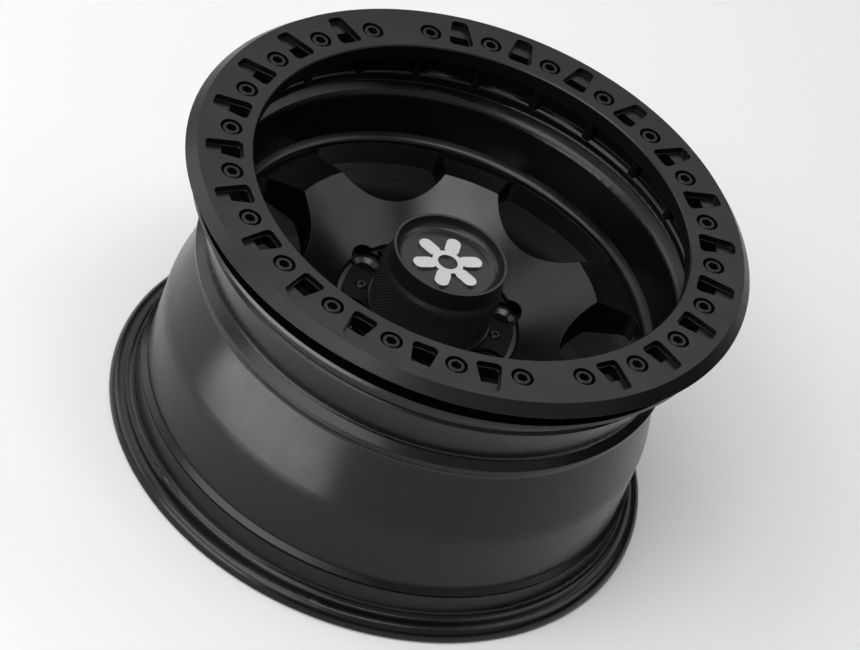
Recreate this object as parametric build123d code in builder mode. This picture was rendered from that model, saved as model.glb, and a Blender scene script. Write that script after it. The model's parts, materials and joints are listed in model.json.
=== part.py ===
"""Off-road beadlock wheel, lying on its rear flange: cast rim, clamping ring, bolts and screw-on hub cap.

The wheel's axis is +Z and points to the outer face; the rear flange rests on Z = 0. All sizes are in millimetres.
A depth is measured from the outer face of the clamping ring towards the rear flange.
"""
import math
import os

from build123d import *

# overall wheel
overall_width = 281.0
bead_seat_d = 436.6

# rear flange, bead seat and mouth
rear_flange_h = 17.3
rear_lip_width = 13.2
rear_lip_r = 9.5
rear_edge = 2.0
rear_seat_len = 22.0
rear_seat_taper = 5.0
rear_seat_fillet = 6.5
rear_hump_len = 3.4
rear_hump_h = 1.0
rear_ramp_len = 3.4
rear_mouth_inset = 10.3
rear_mouth_flare = 3.0

# barrel, from the rear shoulder to the drop behind the front flange
barrel_drop = 5.7
barrel_wall = 8.8
barrel_ramp_len = 62.5
shoulder_fillet = 60.0
neck_drop = 13.0
neck_len = 7.0
neck_fillet = 8.0
mid_hump_h = 5.9
mid_hump_w = 4.5
mid_hump_step = 7.0
drop_h = 1.6
drop_fillet = 3.0

# front flange that carries the clamping ring
bolt_circle_inset = 12.8
pilot_margin = 11.5
pilot_h = 14.0
front_lip_w = 12.1
front_lip_t = 4.0
front_cove_len = 23.0
front_cove_h = 7.0
front_cove_rise = 4.2
front_cove_fillet = 8.0
front_ridge_inset = 2.7
front_ridge_h = 1.6
front_ramp_len = 44.0

# throat inside the front flange: a rounded bolt ledge, a groove, a sloped wall and a rounded lip
bolt_relief = 1.0
bolt_ledge_depth = 27.5
bolt_ledge_w = 5.3
bolt_ledge_h = 8.7
bolt_ledge_r = 5.0
bolt_ledge_edge_r = 0.8
groove_h = 5.3
groove_fillet = 2.0
groove_floor_w = 7.2
groove_floor_h = 4.9
throat_bevel_w = 3.2
throat_bevel_h = 3.8
throat_bevel_r = 8.0
throat_wall = 14.0
throat_lip_w = 3.2
throat_lip_h = 7.8
throat_lip_fall = 0.6
throat_lip_taper_w = 0.8
throat_lip_r = 2.8
valve_hole_d = 11.5

# disc and spokes
spoke_count = 6
spoke_phase = 30.0
crest_r = 139.3
crest_fall_angle = 16.7
crest_fillet = 1.5
spoke_t = 35.4
spoke_root_t = 20.5
spoke_root_w = 8.4
spoke_root_h = 9.0
spoke_back_fillet = 20.0
spoke_root_fillet = 8.0
window_r = 69.9
window_inner_r = 112.0
window_margin = 4.4
window_half_angle = 20.0
window_corner_r = 10.0

# hub
hub_pad_depth = 153.0
hub_t = 19.5
hub_dish_h = 34.7
hub_bore_d = 106.2
hub_pad_r = 90.0
hub_pad_step_w = 6.0
hub_pad_step_h = 4.0
hub_recess_gap = 4.2
hub_recess_depth = 3.2
hub_recess_edge_r = 3.0
lug_circle_d = 139.7
lug_count = 6
lug_pocket_r = 15.0
lug_seat_t = 14.2
lug_seat_shoulder = 2.2
lug_seat_angle = 60.0
lug_hole_d = 16.0

# clamping ring
ring_inner_w = 20.0
ring_outer_w = 26.7
ring_chamfer_w = 7.9
ring_chamfer_h = 9.0
ring_outer_t = 10.5
ring_hub_t = 15.0
ring_edge = 1.2
ring_pilot_gap = 0.6
pocket_inset = 11.3
pocket_reach = 20.0
pocket_inner_w = 22.2
pocket_outer_w = 13.6
pocket_corner_r = 4.2
pocket_depth = 5.6
pocket_slot_reach = 5.7
pocket_step = 0.9
blank_pocket_index = 8

# ring bolts
ring_bolt_count = 24
ring_bolt_phase = 7.5
bolt_d = 9.2
bolt_head_d = 14.3
bolt_head_h = 9.2
bolt_hex_w = 8.0
bolt_hex_depth = 6.5
bolt_length = 35.2
bolt_head_gap = 2.1
bolt_head_sink = 0.6
bolt_clearance = 0.35
bolt_chamfer = 0.7
bolt_end_gap = 1.0

# hub cap and its plate
cap_grip_r = 52.0
cap_grip_h = 40.3
cap_grip_wall = 5.1
cap_knurl_h = 0.7
cap_foot_w = 1.2
cap_foot_h = 3.0
cap_ledge_w = 3.2
cap_ledge_h = 3.6
cap_collar_h = 17.5
cap_wall = 3.6
cap_rim_w = 2.4
cap_dish_depth = 11.0
cap_dish_draw = 1.0
cap_dish_fillet = 8.0
cap_plate_t = 4.0
cap_plate_margin = 14.7
cap_scallop_gap = 0.5
cap_spigot_wall = 6.5
cap_spigot_h = 12.0
cap_fit = 0.4

# cap badge
badge_r = 31.0
badge_ring_r = 13.5
badge_ring_w = 5.0
badge_petal_w = 12.5
badge_petal_overlap = 3.0
badge_petals = 6
badge_t = 2.4

# cap screws
screw_foot_gap = 1.5
screw_d = 5.0
screw_head_d = 9.6
screw_head_h = 3.0
screw_head_bevel = 1.1
screw_hex_w = 4.0
screw_hex_depth = 1.8
screw_length = 14.0
screw_sink = 1.5
screw_clearance = 0.35
screw_end_gap = 1.0

os.makedirs("parts", exist_ok=True)


def height(depth):
    """Height above the rear flange of a level given by its depth below the ring's face."""
    return overall_width - depth


def rounded_outline(corners):
    """Draws a closed outline through (x, y, radius) corners; a rounding is limited by the edges beside it."""
    count = len(corners)
    points = [Vector(x, y) for x, y, _ in corners]
    before = [(points[i - 1] - points[i]).normalized() for i in range(count)]
    after = [(points[(i + 1) % count] - points[i]).normalized() for i in range(count)]
    halves = [math.radians(before[i].get_angle(after[i])) / 2 for i in range(count)]
    reaches = [corners[i][2] / math.tan(halves[i]) for i in range(count)]
    rooms = []
    for i in range(count):
        taken = reaches[i - 1] + reaches[i]
        edge = (points[i] - points[i - 1]).length
        rooms.append(min(1.0, 0.96 * edge / taken) if taken > 0 else 1.0)
    ends = []
    for i in range(count):
        reach = reaches[i] * min(rooms[i], rooms[(i + 1) % count])
        start = points[i] + before[i] * reach
        end = points[i] + after[i] * reach
        if reach > 0:
            sagitta = reach / math.cos(halves[i]) - reach * math.tan(halves[i])
            ThreePointArc(start, points[i] + (before[i] + after[i]).normalized() * sagitta, end)
        ends.append((start, end))
    for i in range(count):
        Line(ends[i - 1][1], ends[i][0])


# radii that follow from the sizes above, from the bead seat inwards
bead_seat_r = bead_seat_d / 2
rear_outer_r = bead_seat_r + rear_flange_h
rear_seat_end_r = bead_seat_r - rear_seat_len * math.tan(math.radians(rear_seat_taper))
rear_hump_r = rear_seat_end_r + rear_hump_h
rear_mouth_r = bead_seat_r - rear_mouth_inset
barrel_r = bead_seat_r - barrel_drop
neck_r = barrel_r - neck_drop
mid_hump_r = neck_r + mid_hump_h
drop_r = neck_r - drop_h
bolt_circle_r = bead_seat_r - bolt_circle_inset
front_pilot_r = bolt_circle_r + pilot_margin
front_lip_r = front_pilot_r + front_lip_w
front_ridge_r = front_pilot_r - front_ridge_inset
bolt_wall_r = bolt_circle_r + bolt_relief
bolt_ledge_inner_r = bolt_wall_r - bolt_ledge_w
throat_top_r = bolt_wall_r - groove_floor_w
throat_bevel_low_r = throat_top_r - throat_bevel_w
throat_lip_inner_r = drop_r - throat_wall
throat_low_r = throat_lip_inner_r + throat_lip_w
shelf_r = throat_lip_inner_r - throat_lip_taper_w
window_outer_r = throat_lip_inner_r - window_margin
spoke_root_r = neck_r - barrel_wall - spoke_root_w
cap_foot_r = cap_grip_r + cap_foot_w
cap_root_r = cap_grip_r - cap_knurl_h
cap_collar_r = cap_grip_r - cap_ledge_w
cap_bore_r = cap_grip_r - cap_grip_wall
cap_spigot_r = cap_bore_r - cap_fit
cap_plate_hole_r = cap_spigot_r - cap_spigot_wall
screw_circle_r = cap_foot_r + screw_foot_gap + screw_head_d / 2
cap_plate_r = screw_circle_r + cap_plate_margin
hub_recess_r = cap_plate_r + hub_recess_gap
lug_circle_r = lug_circle_d / 2
hub_bore_r = hub_bore_d / 2
ring_inner_r = bolt_circle_r - ring_inner_w
ring_face_r = bolt_circle_r + ring_outer_w
ring_outer_r = ring_face_r + ring_chamfer_w

# levels that follow from the sizes above
rear_seat_end_z = rear_lip_width + rear_seat_len
rear_hump_z = rear_seat_end_z + rear_hump_len
rear_ramp_z = rear_hump_z + rear_ramp_len
flange_top_z = height(ring_hub_t)
lip_top_z = flange_top_z - pilot_h
lip_low_z = lip_top_z - front_lip_t
front_ridge_z = lip_low_z - front_cove_len
drop_z = front_ridge_z - front_ramp_len
mid_hump_top_z = drop_z - mid_hump_step
mid_hump_low_z = mid_hump_top_z - mid_hump_w
neck_z = mid_hump_low_z - neck_len
shoulder_z = neck_z - barrel_ramp_len
bolt_ledge_z = flange_top_z - bolt_ledge_depth
bolt_ledge_low_z = bolt_ledge_z - bolt_ledge_h
groove_low_z = bolt_ledge_low_z - groove_h
throat_top_z = groove_low_z - groove_floor_h
throat_bevel_low_z = throat_top_z - throat_bevel_h
hub_pad_z = height(hub_pad_depth)
hub_floor_z = hub_pad_z + hub_t
recess_rim_z = hub_floor_z + hub_recess_depth
crest_z = recess_rim_z + hub_dish_h
crest_fall = math.tan(math.radians(crest_fall_angle))
shelf_z = crest_z - (shelf_r - crest_r) * crest_fall
throat_lip_z = shelf_z + throat_lip_h
throat_low_z = throat_lip_z + throat_lip_fall
spoke_back_z = crest_z - spoke_t
spoke_root_z = crest_z - (spoke_root_r - crest_r) * crest_fall - spoke_root_t

# section of the rim, in three runs: up the outside, down the throat and the disc, out along the back
outside_run = [
    (rear_outer_r - rear_edge, 0.0, 0.0),
    (rear_outer_r, rear_edge, 0.0),
    (rear_outer_r, rear_lip_width, rear_lip_r),
    (bead_seat_r, rear_lip_width, rear_seat_fillet),
    (rear_seat_end_r, rear_seat_end_z, 0.0),
    (rear_hump_r, rear_hump_z, 0.0),
    (barrel_r, rear_ramp_z, 0.0),
    (barrel_r, shoulder_z, shoulder_fillet),
    (neck_r, neck_z, neck_fillet),
    (mid_hump_r, mid_hump_low_z, 0.0),
    (mid_hump_r, mid_hump_top_z, 0.0),
    (drop_r, drop_z, drop_fillet),
    (front_ridge_r, front_ridge_z, 0.0),
    (front_ridge_r - front_ridge_h, front_ridge_z + front_ridge_h, 0.0),
    (front_ridge_r + front_cove_rise, lip_low_z - front_cove_h, front_cove_fillet),
    (front_lip_r, lip_low_z, 0.0),
    (front_lip_r, lip_top_z, 0.0),
    (front_pilot_r, lip_top_z, 0.0),
    (front_pilot_r, flange_top_z, 0.0),
]
inside_run = [
    (bolt_wall_r, flange_top_z, 0.0),
    (bolt_wall_r, bolt_ledge_z, 0.0),
    (bolt_ledge_inner_r, bolt_ledge_z, bolt_ledge_r),
    (bolt_ledge_inner_r, bolt_ledge_low_z, bolt_ledge_edge_r),
    (bolt_wall_r, bolt_ledge_low_z, groove_fillet),
    (bolt_wall_r, groove_low_z, groove_fillet),
    (throat_top_r, throat_top_z, 0.0),
    (throat_bevel_low_r, throat_bevel_low_z, throat_bevel_r),
    (throat_low_r, throat_low_z, 0.0),
    (throat_lip_inner_r, throat_lip_z, throat_lip_r),
    (shelf_r, shelf_z, 0.0),
    (crest_r, crest_z, crest_fillet),
    (hub_recess_r, recess_rim_z, hub_recess_edge_r),
    (hub_recess_r, hub_floor_z, 0.0),
    (hub_bore_r, hub_floor_z, 0.0),
]
back_run = [
    (hub_bore_r, hub_pad_z, 0.0),
    (hub_pad_r, hub_pad_z, 0.0),
    (hub_pad_r + hub_pad_step_w, hub_pad_z + hub_pad_step_h, 0.0),
    (crest_r, spoke_back_z, spoke_back_fillet),
    (spoke_root_r, spoke_root_z, spoke_root_fillet),
    (neck_r - barrel_wall, spoke_root_z - spoke_root_h, spoke_root_fillet),
    (barrel_r - barrel_wall, shoulder_z, shoulder_fillet),
    (barrel_r - barrel_wall, rear_ramp_z, 0.0),
    (rear_mouth_r, rear_lip_width, 0.0),
    (rear_mouth_r + rear_mouth_flare, 0.0, 0.0),
]

# window between two spokes, drawn around the X axis: a round inner end and sides along two rays
half_angle = math.radians(window_half_angle)
window_centre_r = window_inner_r + window_r
side_r = window_centre_r * math.cos(half_angle) - math.sqrt(
    window_r ** 2 - (window_centre_r * math.sin(half_angle)) ** 2
)
side_low = Vector(side_r, 0).rotate(Axis.Z, -window_half_angle)
side_high = Vector(side_r, 0).rotate(Axis.Z, window_half_angle)
corner_low = Vector(window_outer_r, 0).rotate(Axis.Z, -window_half_angle)
corner_high = Vector(window_outer_r, 0).rotate(Axis.Z, window_half_angle)

with BuildSketch() as window:
    with BuildLine():
        ThreePointArc(side_high, (window_inner_r, 0), side_low)
        Line(side_low, corner_low)
        ThreePointArc(corner_low, (window_outer_r, 0), corner_high)
        Line(corner_high, side_high)
    make_face()
    fillet(window.vertices().sort_by(Axis.X)[-2:], radius=window_corner_r)

# the valve hole stands square to the throat wall, over the middle of a window
throat_dr = throat_bevel_low_r - throat_low_r
throat_dz = throat_bevel_low_z - throat_low_z
valve_plane = Plane(
    origin=((throat_bevel_low_r + throat_low_r) / 2, 0, (throat_bevel_low_z + throat_low_z) / 2),
    x_dir=(0, 1, 0),
    z_dir=(throat_dz, 0, -throat_dr),
)
window_phase = spoke_phase - 180 / spoke_count
lug_phase = spoke_phase
screw_phase = lug_phase + 180 / lug_count
lug_seat_z = hub_pad_z + lug_seat_t
counterbore_depth = bolt_head_h + bolt_head_sink
bolt_hole_depth = bolt_length - (ring_hub_t - counterbore_depth) + bolt_end_gap
screw_hole_depth = screw_length - (cap_plate_t - screw_sink) + screw_end_gap

with BuildPart() as rim:
    with BuildSketch(Plane.XZ):
        with BuildLine():
            rounded_outline(outside_run + inside_run + back_run)
        make_face()
    revolve(axis=Axis.Z)
    # windows between the spokes
    with BuildSketch(Plane.XY.offset(crest_z)):
        with PolarLocations(0, spoke_count, start_angle=window_phase):
            add(window.sketch)
    extrude(amount=hub_pad_z - crest_z, mode=Mode.SUBTRACT)
    # lug nut pockets, tapered seats and stud holes
    with BuildSketch(Plane.XY.offset(lug_seat_z)):
        with PolarLocations(lug_circle_r, lug_count, start_angle=lug_phase):
            Circle(lug_pocket_r)
    extrude(amount=crest_z - lug_seat_z, mode=Mode.SUBTRACT)
    with Locations(Plane.XY.offset(lug_seat_z)):
        with PolarLocations(lug_circle_r, lug_count, start_angle=lug_phase):
            CounterSinkHole(
                radius=lug_hole_d / 2,
                counter_sink_radius=lug_pocket_r - lug_seat_shoulder,
                counter_sink_angle=lug_seat_angle,
            )
    # tapped holes for the ring bolts, open to the throat along one side
    with BuildSketch(Plane.XY.offset(flange_top_z)):
        with PolarLocations(bolt_circle_r, ring_bolt_count, start_angle=ring_bolt_phase):
            Circle(bolt_d / 2 + bolt_clearance)
    extrude(amount=-bolt_hole_depth, mode=Mode.SUBTRACT)
    # tapped holes for the cap screws
    with BuildSketch(Plane.XY.offset(hub_floor_z)):
        with PolarLocations(screw_circle_r, lug_count, start_angle=screw_phase):
            Circle(screw_d / 2 + screw_clearance)
    extrude(amount=-screw_hole_depth, mode=Mode.SUBTRACT)
    # valve hole
    with BuildSketch(valve_plane):
        Circle(valve_hole_d / 2)
    extrude(amount=throat_dr + 2 * throat_wall, both=True, mode=Mode.SUBTRACT)
rim.part.label = "rim"

# pocket of the ring around the X axis, and the slot through its inner half
pocket_inner_r = bolt_circle_r - pocket_inset
pocket_outer_r = bolt_circle_r + pocket_reach
slot_inner_r = pocket_inner_r + pocket_step

with BuildSketch() as pocket:
    with BuildLine():
        Polyline(
            (pocket_inner_r, -pocket_inner_w / 2),
            (pocket_outer_r, -pocket_outer_w / 2),
            (pocket_outer_r, pocket_outer_w / 2),
            (pocket_inner_r, pocket_inner_w / 2),
            close=True,
        )
    make_face()
    fillet(pocket.vertices(), radius=pocket_corner_r)

with BuildSketch() as pocket_slot:
    with BuildLine():
        Polyline(
            (slot_inner_r, pocket_step - pocket_inner_w / 2),
            (pocket_outer_r, pocket_step - pocket_outer_w / 2),
            (pocket_outer_r, pocket_outer_w / 2 - pocket_step),
            (slot_inner_r, pocket_inner_w / 2 - pocket_step),
            close=True,
        )
    make_face()
    fillet(pocket_slot.vertices().sort_by(Axis.X)[:2], radius=pocket_corner_r - pocket_step)
    Circle(bolt_circle_r + pocket_slot_reach, mode=Mode.INTERSECT)

# a pocket stands between each two bolts, apart from one blank place on each half of the ring
pocket_pitch = 360 / ring_bolt_count
pocket_angles = [
    ring_bolt_phase + pocket_pitch * (k - 0.5)
    for k in range(ring_bolt_count)
    if k % (ring_bolt_count // 2) != blank_pocket_index
]

with BuildPart() as beadlock_ring:
    with BuildSketch(Plane.XZ):
        with BuildLine():
            Polyline(
                (ring_inner_r + ring_edge, overall_width),
                (ring_face_r, overall_width),
                (ring_outer_r, height(ring_chamfer_h)),
                (ring_outer_r - ring_edge, height(ring_outer_t)),
                (front_pilot_r - ring_pilot_gap, height(ring_outer_t)),
                (front_pilot_r - ring_pilot_gap, flange_top_z),
                (ring_inner_r + ring_edge, flange_top_z),
                (ring_inner_r, flange_top_z + ring_edge),
                (ring_inner_r, overall_width - ring_edge),
                close=True,
            )
        make_face()
    revolve(axis=Axis.Z)
    # stepped pockets with a ledge in their outer half
    with BuildSketch(Plane.XY.offset(overall_width)):
        for angle in pocket_angles:
            with PolarLocations(0, 1, start_angle=angle):
                add(pocket.sketch)
    extrude(amount=-pocket_depth, mode=Mode.SUBTRACT)
    with BuildSketch(Plane.XY.offset(overall_width)):
        for angle in pocket_angles:
            with PolarLocations(0, 1, start_angle=angle):
                add(pocket_slot.sketch)
    extrude(amount=-ring_hub_t, mode=Mode.SUBTRACT)
    # counterbored bolt holes
    with Locations(Plane.XY.offset(overall_width)):
        with PolarLocations(bolt_circle_r, ring_bolt_count, start_angle=ring_bolt_phase):
            CounterBoreHole(
                radius=bolt_d / 2 + bolt_clearance,
                counter_bore_radius=bolt_head_d / 2 + bolt_head_gap,
                counter_bore_depth=counterbore_depth,
            )
beadlock_ring.part.label = "beadlock_ring"

# socket-head bolts of the ring, seated in its counterbores
bolt_seat_z = height(counterbore_depth)
with BuildPart() as ring_bolts:
    with BuildSketch(Plane.XY.offset(bolt_seat_z)):
        with PolarLocations(bolt_circle_r, ring_bolt_count, start_angle=ring_bolt_phase):
            Circle(bolt_head_d / 2)
    extrude(amount=bolt_head_h)
    chamfer(ring_bolts.edges().group_by(Axis.Z)[-1], length=bolt_chamfer)
    with BuildSketch(Plane.XY.offset(bolt_seat_z)):
        with PolarLocations(bolt_circle_r, ring_bolt_count, start_angle=ring_bolt_phase):
            Circle(bolt_d / 2)
    extrude(amount=-bolt_length)
    with BuildSketch(Plane.XY.offset(bolt_seat_z + bolt_head_h)):
        with PolarLocations(bolt_circle_r, ring_bolt_count, start_angle=ring_bolt_phase):
            RegularPolygon(bolt_hex_w / 2, 6, major_radius=False)
    extrude(amount=-bolt_hex_depth, mode=Mode.SUBTRACT)
ring_bolts.part.label = "ring_bolts"

# cap plate: a disc scalloped round the lug pockets, with a spigot that the cap screws onto
plate_top_z = hub_floor_z + cap_plate_t
with BuildPart() as cap_plate:
    with BuildSketch(Plane.XY.offset(hub_floor_z)):
        Circle(cap_plate_r)
        with PolarLocations(lug_circle_r, lug_count, start_angle=lug_phase):
            Circle(lug_pocket_r + cap_scallop_gap, mode=Mode.SUBTRACT)
    extrude(amount=cap_plate_t)
    with BuildSketch(Plane.XY.offset(plate_top_z)):
        Circle(cap_spigot_r)
    extrude(amount=cap_spigot_h)
    with BuildSketch(Plane.XY.offset(hub_floor_z)):
        Circle(cap_plate_hole_r)
    extrude(amount=cap_plate_t + cap_spigot_h, mode=Mode.SUBTRACT)
    with Locations(Plane.XY.offset(plate_top_z)):
        with PolarLocations(screw_circle_r, lug_count, start_angle=screw_phase):
            CounterBoreHole(
                radius=screw_d / 2 + screw_clearance,
                counter_bore_radius=screw_head_d / 2 + screw_clearance,
                counter_bore_depth=screw_sink,
            )
cap_plate.part.label = "cap_plate"

# screw-on cap: foot, grip turned to the root of its knurl, sloped ledge, smooth collar and dished top
foot_top_z = plate_top_z + cap_foot_h
grip_top_z = foot_top_z + cap_grip_h
collar_low_z = grip_top_z + cap_ledge_h
cap_top_z = collar_low_z + cap_collar_h
dish_z = cap_top_z - cap_dish_depth
cap_bore_top_z = plate_top_z + cap_spigot_h + cap_fit
cap_hollow_r = cap_collar_r - cap_wall
dish_r = cap_collar_r - cap_rim_w
with BuildPart() as hub_cap:
    with BuildSketch(Plane.XZ):
        with BuildLine():
            rounded_outline(
                [
                    (0.0, dish_z, 0.0),
                    (dish_r - cap_dish_draw, dish_z, cap_dish_fillet),
                    (dish_r, cap_top_z, 0.0),
                    (cap_collar_r, cap_top_z, 0.0),
                    (cap_collar_r, collar_low_z, 0.0),
                    (cap_root_r, grip_top_z, 0.0),
                    (cap_root_r, foot_top_z, 0.0),
                    (cap_foot_r, foot_top_z, 0.0),
                    (cap_foot_r, plate_top_z, 0.0),
                    (cap_bore_r, plate_top_z, 0.0),
                    (cap_bore_r, cap_bore_top_z, 0.0),
                    (cap_hollow_r, cap_bore_top_z, 0.0),
                    (cap_hollow_r, dish_z - cap_wall, 0.0),
                    (0.0, dish_z - cap_wall, 0.0),
                ]
            )
        make_face()
    revolve(axis=Axis.Z)
hub_cap.part.label = "hub_cap"

# plain petal badge on the floor of the cap's dish
petal_start_r = badge_ring_r - badge_petal_overlap
with BuildPart() as cap_badge:
    with BuildSketch(Plane.XY.offset(dish_z)):
        with PolarLocations((badge_r + petal_start_r) / 2, badge_petals, start_angle=spoke_phase):
            SlotOverall(badge_r - petal_start_r, badge_petal_w)
        Circle(badge_ring_r)
        Circle(badge_ring_r - badge_ring_w, mode=Mode.SUBTRACT)
    extrude(amount=badge_t)
cap_badge.part.label = "cap_badge"

# button-head screws of the cap plate
screw_seat_z = plate_top_z - screw_sink
with BuildPart() as cap_screws:
    with BuildSketch(Plane.XY.offset(screw_seat_z)):
        with PolarLocations(screw_circle_r, lug_count, start_angle=screw_phase):
            Circle(screw_head_d / 2)
    extrude(amount=screw_head_h)
    chamfer(cap_screws.edges().group_by(Axis.Z)[-1], length=screw_head_bevel)
    with BuildSketch(Plane.XY.offset(screw_seat_z)):
        with PolarLocations(screw_circle_r, lug_count, start_angle=screw_phase):
            Circle(screw_d / 2)
    extrude(amount=-screw_length)
    with BuildSketch(Plane.XY.offset(screw_seat_z + screw_head_h)):
        with PolarLocations(screw_circle_r, lug_count, start_angle=screw_phase):
            RegularPolygon(screw_hex_w / 2, 6, major_radius=False)
    extrude(amount=-screw_hex_depth, mode=Mode.SUBTRACT)
cap_screws.part.label = "cap_screws"

export_step(rim.part, "parts/rim.step")
export_step(beadlock_ring.part, "parts/beadlock_ring.step")
export_step(ring_bolts.part, "parts/ring_bolts.step")
export_step(cap_plate.part, "parts/cap_plate.step")
export_step(hub_cap.part, "parts/hub_cap.step")
export_step(cap_badge.part, "parts/cap_badge.step")
export_step(cap_screws.part, "parts/cap_screws.step")
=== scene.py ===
"""Looks of the beadlock wheel: finishes, knurl, throat foot and lug seats, and the studio round the frame."""

import json
import logging
import math
from dataclasses import dataclass, field
from enum import Enum

import bpy
from mathutils import Matrix, Vector


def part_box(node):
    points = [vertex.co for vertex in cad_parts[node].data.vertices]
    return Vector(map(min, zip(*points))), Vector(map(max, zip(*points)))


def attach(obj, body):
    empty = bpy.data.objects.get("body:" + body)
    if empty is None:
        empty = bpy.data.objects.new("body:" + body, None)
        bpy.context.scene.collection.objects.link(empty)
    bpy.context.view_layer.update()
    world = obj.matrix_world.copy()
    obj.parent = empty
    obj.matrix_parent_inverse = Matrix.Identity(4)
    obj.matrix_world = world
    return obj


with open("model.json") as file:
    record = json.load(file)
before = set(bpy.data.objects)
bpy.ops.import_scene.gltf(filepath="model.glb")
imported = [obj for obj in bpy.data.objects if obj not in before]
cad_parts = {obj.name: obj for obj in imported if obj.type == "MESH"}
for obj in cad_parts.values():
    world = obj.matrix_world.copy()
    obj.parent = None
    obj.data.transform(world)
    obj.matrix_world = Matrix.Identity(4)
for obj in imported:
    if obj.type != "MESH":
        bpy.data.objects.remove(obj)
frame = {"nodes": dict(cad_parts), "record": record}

log = logging.getLogger("beadlock_wheel")

Colour = tuple[float, float, float]
Place = tuple[float, float, float]
Point = tuple[float, float]

WHITE = (1.0, 1.0, 1.0, 1.0)
# stretch of a noise's range that a finish uses
NOISE_LOW, NOISE_HIGH = 0.3, 0.7
# samples that soften an edge
EDGE_SAMPLES = 8
# place on the wheel's axis that the lamps point at
WHEEL_MIDDLE = (0.0, 0.0, 0.2)


class Node(str, Enum):
    """CAD nodes of the wheel."""

    RIM = "rim"
    RING = "beadlock_ring"
    BOLTS = "ring_bolts"
    PLATE = "cap_plate"
    CAP = "hub_cap"
    BADGE = "cap_badge"
    SCREWS = "cap_screws"


class Slot(str, Enum):
    """Material slots of the record."""

    RIM = "rim_black"
    RING = "ring_black"
    BOLT = "bolt_black"
    CAP = "cap_black"
    BADGE = "badge_silver"


class Texture(str, Enum):
    """Ways in which the fine grain of a finish lies on the surface."""

    SPRAYED = "sprayed"
    TURNED = "turned"


@dataclass
class ShaderGraph:
    """Node tree of a material or world, with short calls to add and join nodes."""

    tree: bpy.types.NodeTree

    @classmethod
    def of_material(cls, material: bpy.types.Material) -> "ShaderGraph":
        """Clears the material's nodes and returns its graph.

        Args:
            material: Material whose node tree is rebuilt.

        Returns:
            The empty graph.
        """
        material.use_nodes = True
        material.node_tree.nodes.clear()
        return cls(material.node_tree)

    def add(self, kind: str, sockets: dict[str, object] | None = None, **settings: object) -> bpy.types.Node:
        """Adds one node.

        Args:
            kind: Blender's name of the node type.
            sockets: Values for input sockets, by socket name.
            settings: Values for the node's own properties.

        Returns:
            The new node.
        """
        node = self.tree.nodes.new(kind)
        for name, value in settings.items():
            setattr(node, name, value)
        for name, value in (sockets or {}).items():
            node.inputs[name].default_value = value
        return node

    def join(self, source: bpy.types.NodeSocket, target: bpy.types.NodeSocket) -> None:
        """Links an output socket to an input socket."""
        self.tree.links.new(source, target)


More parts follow.
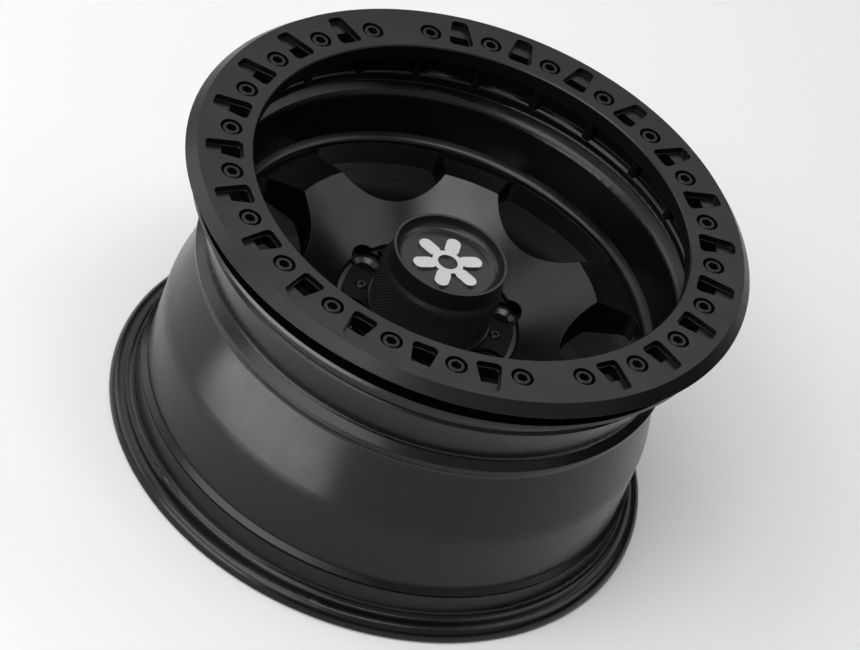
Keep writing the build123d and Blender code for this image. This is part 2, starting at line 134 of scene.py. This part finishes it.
@dataclass(frozen=True)
class Finish:
    """Surface finish: one base colour, with a roughness that drifts and a fine grain over softened edges."""

    name: str
    colour: Colour
    roughness: float
    roughness_swing: float = 0.04
    metallic: float = 0.0
    specular: float = 0.3
    texture: Texture = Texture.SPRAYED
    grain_per_m: float = 900.0
    grain_depth: float = 0.00002
    drift_per_m: float = 22.0
    edge_r: float = 0.0005

    def material(self) -> bpy.types.Material:
        """Builds the finish as a procedural material, once for all pieces that share it.

        Returns:
            The material, named after the finish.
        """
        made = bpy.data.materials.get(self.name)
        if made is not None:
            return made
        material = bpy.data.materials.new(self.name)
        graph = ShaderGraph.of_material(material)
        shader = graph.add(
            "ShaderNodeBsdfPrincipled",
            {
                "Base Color": (*self.colour, 1.0),
                "Metallic": self.metallic,
                "Specular IOR Level": self.specular,
            },
        )
        output = graph.add("ShaderNodeOutputMaterial")
        graph.join(shader.outputs["BSDF"], output.inputs["Surface"])
        place = graph.add("ShaderNodeTexCoord").outputs["Object"]
        self._drift(graph, place, shader)
        self._grain(graph, place, shader)
        return material

    def _drift(self, graph: ShaderGraph, place: bpy.types.NodeSocket, shader: bpy.types.Node) -> None:
        """Lets the roughness drift a little over the surface.

        Args:
            graph: Graph of the material.
            place: Socket with the object coordinates.
            shader: Shader whose roughness is joined.
        """
        noise = graph.add("ShaderNodeTexNoise", {"Scale": self.drift_per_m, "Detail": 3.0, "Roughness": 0.6})
        level = graph.add(
            "ShaderNodeMapRange",
            {
                "From Min": NOISE_LOW,
                "From Max": NOISE_HIGH,
                "To Min": self.roughness - self.roughness_swing,
                "To Max": self.roughness + self.roughness_swing,
            },
        )
        graph.join(place, noise.inputs["Vector"])
        graph.join(noise.outputs["Fac"], level.inputs["Value"])
        graph.join(level.outputs["Result"], shader.inputs["Roughness"])

    def _grain(self, graph: ShaderGraph, place: bpy.types.NodeSocket, shader: bpy.types.Node) -> None:
        """Bumps the surface with its fine grain, over edges that are softened by a small radius.

        Args:
            graph: Graph of the material.
            place: Socket with the object coordinates.
            shader: Shader whose normal is joined.
        """
        grain = graph.add("ShaderNodeTexNoise", {"Scale": self.grain_per_m, "Detail": 2.0, "Roughness": 0.5})
        bump = graph.add("ShaderNodeBump", {"Strength": 1.0, "Distance": self.grain_depth})
        turned = self.texture is Texture.TURNED
        graph.join(self._lathe(graph, place) if turned else place, grain.inputs["Vector"])
        graph.join(grain.outputs["Fac"], bump.inputs["Height"])
        if self.edge_r > 0:
            edge = graph.add("ShaderNodeBevel", {"Radius": self.edge_r}, samples=EDGE_SAMPLES)
            graph.join(edge.outputs["Normal"], bump.inputs["Normal"])
        graph.join(bump.outputs["Normal"], shader.inputs["Normal"])

    def _lathe(self, graph: ShaderGraph, place: bpy.types.NodeSocket) -> bpy.types.NodeSocket:
        """Turns a place into its radius and height about the wheel's axis.

        Args:
            graph: Graph of the material.
            place: Socket with the object coordinates.

        Returns:
            Socket with the radius as X and the height as Z.
        """
        parts = graph.add("ShaderNodeSeparateXYZ")
        square = graph.add("ShaderNodeCombineXYZ")
        radius = graph.add("ShaderNodeVectorMath", operation="LENGTH")
        lathe = graph.add("ShaderNodeCombineXYZ")
        graph.join(place, parts.inputs["Vector"])
        graph.join(parts.outputs["X"], square.inputs["X"])
        graph.join(parts.outputs["Y"], square.inputs["Y"])
        graph.join(square.outputs["Vector"], radius.inputs[0])
        graph.join(radius.outputs["Value"], lathe.inputs["X"])
        graph.join(parts.outputs["Z"], lathe.inputs["Z"])
        return lathe.outputs["Vector"]


@dataclass(frozen=True)
class FinishSet:
    """Finishes of the wheel's pieces."""

    rim_coat: Finish = Finish(
        "rim_satin_black", (0.0018, 0.0018, 0.0019), 0.27, specular=0.33, edge_r=0.0007
    )
    ring_coat: Finish = Finish(
        "ring_satin_black", (0.0018, 0.0018, 0.0019), 0.34, specular=0.33, edge_r=0.0005
    )
    bolt_oxide: Finish = Finish(
        "bolt_black_oxide", (0.003, 0.003, 0.0031), 0.34, specular=0.25, grain_per_m=2500.0, edge_r=0.0003
    )
    cap_anodised: Finish = Finish(
        "cap_black_anodised", (0.01, 0.01, 0.0102), 0.30, specular=0.3, texture=Texture.TURNED, edge_r=0.0004
    )
    # painted shade: the cap plate gets a darker, less glossy copy of the cap's black anodising, standing in
    # for the shade it lies in
    plate_shaded_anodised: Finish = Finish(
        "plate_black_anodised_shaded",
        (0.002, 0.002, 0.0021),
        0.36,
        specular=0.05,
        texture=Texture.TURNED,
        edge_r=0.0004,
    )
    # the knurl has its own finish without softened edges. Its colour is slightly lighter than the cap's,
    # which is painted light on the grip
    knurl_lit_anodised: Finish = Finish(
        "knurl_black_anodised_lit", (0.012, 0.012, 0.0122), 0.30, specular=0.5, edge_r=0.0
    )
    badge_silver: Finish = Finish(
        "badge_satin_silver", (0.5, 0.5, 0.51), 0.34, metallic=1.0, texture=Texture.TURNED, edge_r=0.0003
    )


def dress(node: Node, material: bpy.types.Material) -> bpy.types.Object:
    """Gives a CAD node its finish.

    Args:
        node: The CAD node.
        material: The finish as a material.

    Returns:
        The dressed object.
    """
    piece = frame["nodes"][node.value]
    piece.data.materials.clear()
    piece.data.materials.append(material)
    log.info("%s dressed as %s", node.value, material.name)
    return piece


@dataclass(frozen=True)
class TurnedPiece:
    """A closed section of radii and heights, turned about one or more upright axes into one mesh."""

    name: str
    section: tuple[Point, ...]
    centres: tuple[Point, ...] = ((0.0, 0.0),)
    steps: int = 256
    smooth_deg: float = 32.0

    def build(self) -> bpy.types.Object:
        """Builds the piece.

        Returns:
            The piece, riding on the wheel.
        """
        verts: list[Place] = []
        faces: list[tuple[int, ...]] = []
        count = len(self.section)
        for x, y in self.centres:
            first = len(verts)
            for step in range(self.steps):
                turn = 2 * math.pi * step / self.steps
                verts += [(x + r * math.cos(turn), y + r * math.sin(turn), z) for r, z in self.section]
                here = first + step * count
                there = first + (step + 1) % self.steps * count
                for i in range(count):
                    j = (i + 1) % count
                    faces.append((here + i, there + i, there + j, here + j))
        mesh = bpy.data.meshes.new(self.name)
        mesh.from_pydata(verts, [], faces)
        mesh.validate()
        mesh.shade_smooth()
        mesh.set_sharp_from_angle(angle=math.radians(self.smooth_deg))
        piece = bpy.data.objects.new(self.name, mesh)
        bpy.context.scene.collection.objects.link(piece)
        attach(piece, "root")
        log.info("%s built with %d faces", self.name, len(faces))
        return piece


@dataclass
class CastRim:
    """The one-piece cast rim, with the rounded foot of its throat and the faces of its lug seats."""

    coat: Finish
    throat_foot: tuple[Point, ...] = (
        (0.1876, 0.1816),
        (0.1855, 0.1808),
        (0.1835, 0.17995),
        (0.182, 0.1792),
        (0.181, 0.1784),
        (0.1803, 0.1774),
        (0.1798, 0.1762),
        (0.17965, 0.1748),
        (0.17965, 0.1726),
        (0.1799, 0.1712),
        (0.185, 0.1712),
        (0.1884, 0.1805),
    )
    lug_seat: tuple[Point, ...] = (
        (0.01275, 0.14205),
        (0.0081, 0.13935),
        (0.0081, 0.1344),
        (0.0092, 0.1336),
        (0.0134, 0.1408),
    )
    seat_steps: int = 48

    def build(self) -> list[bpy.types.Object]:
        """Builds the throat's foot and the lug seats.

        Returns:
            The pieces, riding on the wheel.
        """
        return [
            TurnedPiece("throat_foot", self.throat_foot).build(),
            TurnedPiece("lug_seats", self.lug_seat, self._lug_axes(), steps=self.seat_steps).build(),
        ]

    def _lug_axes(self) -> tuple[Point, ...]:
        """Axes of the stud holes, on the record's lug circle and midway between the windows.

        Returns:
            X and Y of each axis.
        """
        circle = next(m["dims"] for m in frame["record"]["mounts"] if m["name"] == "lug_circle")
        radius = circle["pcd_mm"] / 2000
        turns = [math.pi * (2 * k + 1) / circle["count"] for k in range(circle["count"])]
        return tuple((radius * math.cos(t), radius * math.sin(t)) for t in turns)

    def dress(self, pieces: list[bpy.types.Object]) -> None:
        """Coats the rim.

        Args:
            pieces: The rim's built pieces.
        """
        coat = self.coat.material()
        dress(Node.RIM, coat)
        for piece in pieces:
            piece.data.materials.append(coat)


@dataclass
class ClampingRing:
    """The beadlock ring and its bolts."""

    coat: Finish
    oxide: Finish

    def dress(self) -> None:
        """Coats the ring and blackens its bolts."""
        dress(Node.RING, self.coat.material())
        dress(Node.BOLTS, self.oxide.material())


@dataclass
class KnurlSleeve:
    """Diamond knurl of the cap's grip: rows of small pyramids between crossed grooves."""

    low_z: float = 0.1547
    high_z: float = 0.1946
    root_r: float = 0.05133
    tip_r: float = 0.0523
    back_r: float = 0.0506
    teeth: int = 92
    rows: int = 11

    def build(self) -> bpy.types.Object:
        """Builds the sleeve as one closed mesh around the wheel's axis.

        Returns:
            The sleeve, linked to the scene.
        """
        verts: list[Place] = []
        faces: list[tuple[int, ...]] = []
        step_z = (self.high_z - self.low_z) / self.rows
        pitch = 2 * math.pi / self.teeth

        def point(r: float, turn: float, z: float) -> int:
            """Adds a vertex at a radius, angle and height, and returns its index."""
            verts.append((r * math.cos(turn), r * math.sin(turn), z))
            return len(verts) - 1

        whole = [
            [point(self.root_r, pitch * k, self.low_z + step_z * j) for k in range(self.teeth)]
            for j in range(self.rows + 1)
        ]
        half = [
            [
                point(self.root_r, pitch * (k + 0.5), self.low_z + step_z * (j + 0.5))
                for k in range(self.teeth)
            ]
            for j in range(self.rows)
        ]
        for j in range(self.rows):
            for k in range(self.teeth):
                after = (k + 1) % self.teeth
                tip = point(self.tip_r, pitch * (k + 1), self.low_z + step_z * (j + 0.5))
                ring = (half[j][k], whole[j][after], half[j][after], whole[j + 1][after])
                faces += [(ring[i], ring[(i + 1) % 4], tip) for i in range(4)]
        for j in range(1, self.rows):
            for k in range(self.teeth):
                after = (k + 1) % self.teeth
                tip = point(self.tip_r, pitch * (k + 0.5), self.low_z + step_z * j)
                ring = (whole[j][k], half[j - 1][k], whole[j][after], half[j][k])
                faces += [(ring[i], ring[(i + 1) % 4], tip) for i in range(4)]
        back = [
            [point(self.back_r, pitch * k, z) for k in range(self.teeth)] for z in (self.low_z, self.high_z)
        ]
        for k in range(self.teeth):
            after = (k + 1) % self.teeth
            faces.append((whole[0][k], whole[0][after], half[0][k]))
            faces.append((whole[-1][after], whole[-1][k], half[-1][k]))
            faces.append((whole[0][after], whole[0][k], back[0][k], back[0][after]))
            faces.append((whole[-1][k], whole[-1][after], back[1][after], back[1][k]))
            faces.append((back[0][after], back[0][k], back[1][k], back[1][after]))
        mesh = bpy.data.meshes.new("cap_knurl")
        mesh.from_pydata(verts, [], faces)
        mesh.validate()
        sleeve = bpy.data.objects.new("cap_knurl", mesh)
        bpy.context.scene.collection.objects.link(sleeve)
        return sleeve


@dataclass
class HubCap:
    """The screw-on cap with its plate, badge, screws and knurled grip."""

    anodised: Finish
    # matt: the plate's darker copy of the cap finish, which paints shade on the plate
    matt: Finish
    # knurled: the grip's finish, slightly lighter than the cap's as painted light
    knurled: Finish
    silver: Finish
    oxide: Finish
    knurl: KnurlSleeve = field(default_factory=KnurlSleeve)

    def build(self) -> bpy.types.Object:
        """Builds the knurl of the grip.

        Returns:
            The knurl sleeve, riding on the wheel.
        """
        sleeve = self.knurl.build()
        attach(sleeve, "root")
        log.info("cap_knurl built with %d faces", len(sleeve.data.polygons))
        return sleeve

    def dress(self, sleeve: bpy.types.Object) -> None:
        """Finishes the cap's pieces.

        Args:
            sleeve: The knurl sleeve.
        """
        dress(Node.CAP, self.anodised.material())
        # the plate's darker finish is painted shade
        dress(Node.PLATE, self.matt.material())
        dress(Node.SCREWS, self.oxide.material())
        dress(Node.BADGE, self.silver.material())
        # the knurl's lighter colour is painted light
        sleeve.data.materials.append(self.knurled.material())


@dataclass(frozen=True)
class SoftBox:
    """A rectangular studio lamp that points at a place on the wheel."""

    name: str
    place: Place
    aim: Place
    width: float
    depth: float
    power: float

    @classmethod
    def round_wheel(
        cls,
        name: str,
        azimuth: float,
        elevation: float,
        distance: float,
        width: float,
        depth: float,
        power: float,
    ) -> "SoftBox":
        """Makes a lamp that stands round the wheel and points at its middle.

        Args:
            name: Name of the lamp.
            azimuth: Turn from the camera's side of the wheel towards its right, in degrees.
            elevation: Height above the horizon, in degrees.
            distance: Distance from the wheel's middle.
            width: Width of the lamp.
            depth: Height of the lamp.
            power: Power in watts.

        Returns:
            The lamp.
        """
        turn, lift = math.radians(azimuth), math.radians(elevation)
        middle = Vector(WHEEL_MIDDLE)
        way = Vector((math.sin(turn) * math.cos(lift), -math.cos(turn) * math.cos(lift), math.sin(lift)))
        return cls(name, tuple(middle + way * distance), tuple(middle), width, depth, power)

    def hang(self) -> None:
        """Hangs the lamp in the studio, out of the camera's sight."""
        data = bpy.data.lights.new(self.name, "AREA")
        data.shape = "RECTANGLE"
        data.size = self.width
        data.size_y = self.depth
        data.energy = self.power
        lamp = bpy.data.objects.new(self.name, data)
        lamp.location = self.place
        lamp.rotation_euler = (Vector(self.aim) - Vector(self.place)).to_track_quat("-Z", "Y").to_euler()
        lamp.visible_camera = False
        bpy.context.scene.collection.objects.link(lamp)
        log.info("lamp %s hung", self.name)


@dataclass(frozen=True)
class Viewpoint:
    """The photograph's camera: where it stands round the wheel, how far it is rolled, and its lens."""

    aim: Place = (0.006145, -0.003642, 0.14)
    distance: float = 3.287896
    azimuth: float = -2.892526
    elevation: float = 40.099579
    roll: float = 22.559333
    lens_mm: float = 165.1415
    sensor_mm: float = 36.0

    def place(self) -> None:
        """Makes the camera and sets it as the scene's camera."""
        turn, lift, roll = (math.radians(a) for a in (self.azimuth, self.elevation, self.roll))
        back = Vector((math.sin(turn) * math.cos(lift), -math.cos(turn) * math.cos(lift), math.sin(lift)))
        level = Vector((0, 0, 1)).cross(back).normalized()
        upright = back.cross(level)
        right = level * math.cos(roll) + upright * math.sin(roll)
        up = upright * math.cos(roll) - level * math.sin(roll)
        data = bpy.data.cameras.new("photo_camera")
        data.lens = self.lens_mm
        data.sensor_width = self.sensor_mm
        data.sensor_fit = "HORIZONTAL"
        data.clip_end = 100.0
        data.dof.use_dof = False
        camera = bpy.data.objects.new("photo_camera", data)
        camera.matrix_world = Matrix.Translation(Vector(self.aim) + back * self.distance) @ Matrix(
            (right, up, back)
        ).transposed().to_4x4()
        bpy.context.scene.collection.objects.link(camera)
        bpy.context.scene.camera = camera


@dataclass
class Studio:
    """Pale floor, soft lamps, even surroundings and the camera."""

    floor_half: float = 12.0
    floor_colour: Colour = (0.66, 0.66, 0.66)
    floor_glow: float = 0.06
    room_level: float = 0.03
    # each lamp: azimuth, elevation, distance, width, depth and power
    boxes: tuple[SoftBox, ...] = (
        SoftBox.round_wheel("left_key", -42.0, 51.0, 3.6, 3.6, 1.7, 84.0),
        SoftBox.round_wheel("overhead", 8.0, 82.0, 3.6, 2.2, 0.95, 45.0),
        SoftBox.round_wheel("back_sweep", -172.0, 49.0, 3.4, 3.0, 1.8, 28.0),
        SoftBox.round_wheel("right_fill", 114.0, 47.0, 3.2, 1.9, 1.8, 20.0),
        SoftBox.round_wheel("left_fill", -116.0, 47.0, 3.2, 1.8, 1.7, 15.0),
        SoftBox.round_wheel("left_strip", -103.0, 18.0, 3.2, 2.9, 1.3, 30.0),
        SoftBox.round_wheel("front_strip", -46.0, 14.0, 3.2, 2.4, 1.1, 46.0),
        SoftBox.round_wheel("front_right", 45.0, 38.0, 3.4, 4.0, 2.2, 12.0),
        SoftBox("floor_card", (-0.363, -0.433, 0.012), (0.0, 0.0, 12.0), 0.5, 0.3, 2.6),
    )
    viewpoint: Viewpoint = Viewpoint()

    def build(self) -> None:
        """Builds the studio."""
        bpy.context.scene.view_settings.view_transform = "Standard"
        self._floor()
        self._room()
        for box in self.boxes:
            box.hang()
        self.viewpoint.place()

    def _seen(self, graph: ShaderGraph) -> bpy.types.NodeSocket:
        """Socket that is one for what the camera sees, straight, in gloss or through glass.

        Args:
            graph: Graph of the floor's material.

        Returns:
            The output socket.
        """
        path = graph.add("ShaderNodeLightPath")
        gloss = graph.add("ShaderNodeMath", operation="MAXIMUM")
        glass = graph.add("ShaderNodeMath", operation="MAXIMUM")
        graph.join(path.outputs["Is Camera Ray"], gloss.inputs[0])
        graph.join(path.outputs["Is Glossy Ray"], gloss.inputs[1])
        graph.join(gloss.outputs["Value"], glass.inputs[0])
        graph.join(path.outputs["Is Transmission Ray"], glass.inputs[1])
        return glass.outputs["Value"]

    def _floor(self) -> None:
        """Lays a pale floor under the rear lip; it looks white and keeps the wheel's shadow."""
        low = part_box(Node.RIM.value)[0].z
        corners = [(-1, -1), (1, -1), (1, 1), (-1, 1)]
        mesh = bpy.data.meshes.new("studio_floor")
        verts = [(x * self.floor_half, y * self.floor_half, low) for x, y in corners]
        mesh.from_pydata(verts, [], [(0, 1, 2, 3)])
        floor = bpy.data.objects.new("studio_floor", mesh)
        bpy.context.scene.collection.objects.link(floor)
        material = bpy.data.materials.new("floor_pale")
        graph = ShaderGraph.of_material(material)
        matt = graph.add("ShaderNodeBsdfDiffuse", {"Color": (*self.floor_colour, 1.0)})
        glow = graph.add("ShaderNodeEmission", {"Color": WHITE})
        level = graph.add("ShaderNodeMath", operation="MULTIPLY")
        level.inputs[1].default_value = self.floor_glow
        total = graph.add("ShaderNodeAddShader")
        output = graph.add("ShaderNodeOutputMaterial")
        graph.join(self._seen(graph), level.inputs[0])
        graph.join(level.outputs["Value"], glow.inputs["Strength"])
        graph.join(matt.outputs["BSDF"], total.inputs[0])
        graph.join(glow.outputs["Emission"], total.inputs[1])
        graph.join(total.outputs["Shader"], output.inputs["Surface"])
        mesh.materials.append(material)

    def _room(self) -> None:
        """Fills the room with an even, dim light."""
        world = bpy.data.worlds.new("studio_room")
        world.use_nodes = True
        world.node_tree.nodes.clear()
        graph = ShaderGraph(world.node_tree)
        light = graph.add("ShaderNodeBackground", {"Color": WHITE, "Strength": self.room_level})
        output = graph.add("ShaderNodeOutputWorld")
        graph.join(light.outputs["Background"], output.inputs["Surface"])
        bpy.context.scene.world = world


def main() -> None:
    """Builds and dresses the wheel's pieces in order, then the studio."""
    logging.basicConfig(level=logging.INFO, format="%(message)s")
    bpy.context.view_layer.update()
    finishes = FinishSet()
    rim = CastRim(finishes.rim_coat)
    rim.dress(rim.build())
    ClampingRing(finishes.ring_coat, finishes.bolt_oxide).dress()
    cap = HubCap(
        finishes.cap_anodised,
        finishes.plate_shaded_anodised,
        finishes.knurl_lit_anodised,
        finishes.badge_silver,
        finishes.bolt_oxide,
    )
    cap.dress(cap.build())
    Studio().build()


if __name__ == "__main__":
    main()
